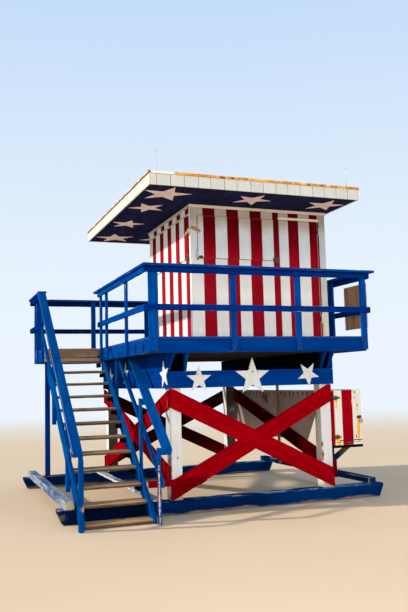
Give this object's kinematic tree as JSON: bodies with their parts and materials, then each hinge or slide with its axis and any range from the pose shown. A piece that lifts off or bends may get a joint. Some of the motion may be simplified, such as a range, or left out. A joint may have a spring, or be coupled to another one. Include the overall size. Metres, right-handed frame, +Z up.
{
  "type": "lifeguard tower",
  "caption": "Timber lifeguard tower: striped hut with a flat roof on a railed deck, raised on braced legs and ground skids, with a side stair and a small locker.",
  "frame": {"origin": "middle of the footprint box, on the ground under the skids", "axes": "+Z up, +X to the right along the near side that holds the hut door, +Y from the near side to the far side"},
  "size_m": [5.156, 4.695, 5.174],
  "materials": {
    "aerial_metal": "dull metal",
    "bare_wood": "weathered bare timber",
    "blue_paint": "weathered gloss paint on sawn timber",
    "dark_wood": "dark stained timber",
    "red_paint": "weathered red paint on planks",
    "roof_sheet": "rolled roofing",
    "rusty_steel": "rusty painted steel",
    "soffit_paint": "matt dark paint",
    "striped_boards": "red and white painted grooved boards",
    "white_paint": "weathered white paint on timber"
  },
  "bodies": {
    "tower": {"aerials": "aerial_metal", "beam_stars": "white_paint", "cap_rails": "blue_paint", "cornice": "white_paint", "cross_timbers": "blue_paint", "deck_joists": "bare_wood", "decking": "bare_wood", "drip_edge": "rusty_steel", "end_beams": "blue_paint", "end_braces": "red_paint", "end_fascias": "white_paint", "end_rims": "blue_paint", "far_wall": "striped_boards", "handrail_bearers": "blue_paint", "handrails": "blue_paint", "hatch_latches": "rusty_steel", "hinge_leaves": "rusty_steel", "hut_trim": "white_paint", "landing_fascia": "bare_wood", "landing_rims": "blue_paint", "landing_support": "blue_paint", "left_wall": "striped_boards", "legs": "white_paint", "locker_box": "striped_boards", "locker_brackets": "dark_wood", "locker_shelf": "dark_wood", "long_fascias": "white_paint", "near_wall": "striped_boards", "near_wall_over_door": "striped_boards", "near_wall_right": "striped_boards", "outriggers": "blue_paint", "railing_posts": "blue_paint", "rails": "blue_paint", "right_wall": "striped_boards", "roof_deck": "roof_sheet", "shutters": "striped_boards", "side_beams": "blue_paint", "side_braces": "red_paint", "side_panel": "bare_wood", "side_post": "bare_wood", "side_rims": "blue_paint", "side_stringers": "blue_paint", "sign_board": "bare_wood", "skids": "blue_paint", "soffit": "soffit_paint", "stair_mid_rails": "blue_paint", "stair_posts": "blue_paint", "stair_tie": "red_paint", "stringers": "blue_paint", "tread_cleats": "dark_wood", "treads": "bare_wood"},
    "cabin_door_leaf": {"cabin_door": "striped_boards", "door_hinge_straps": "rusty_steel"},
    "locker_door_leaf": {"locker_door": "striped_boards", "locker_hasp": "rusty_steel", "locker_hinge_straps": "rusty_steel"}
  },
  "joints": [
    {"name": "cabin_door_hinge", "type": "hinge", "parent": "tower", "child": "cabin_door_leaf", "pos_m": [1.828, -1.3335, 3.5], "axis": [0, 0, 1], "range_deg": [0, 100]},
    {"name": "locker_door_hinge", "type": "hinge", "parent": "tower", "child": "locker_door_leaf", "pos_m": [1.712, -1.8275, 1.28], "axis": [0, 0, -1], "range_deg": [0, 110]}
  ]
}
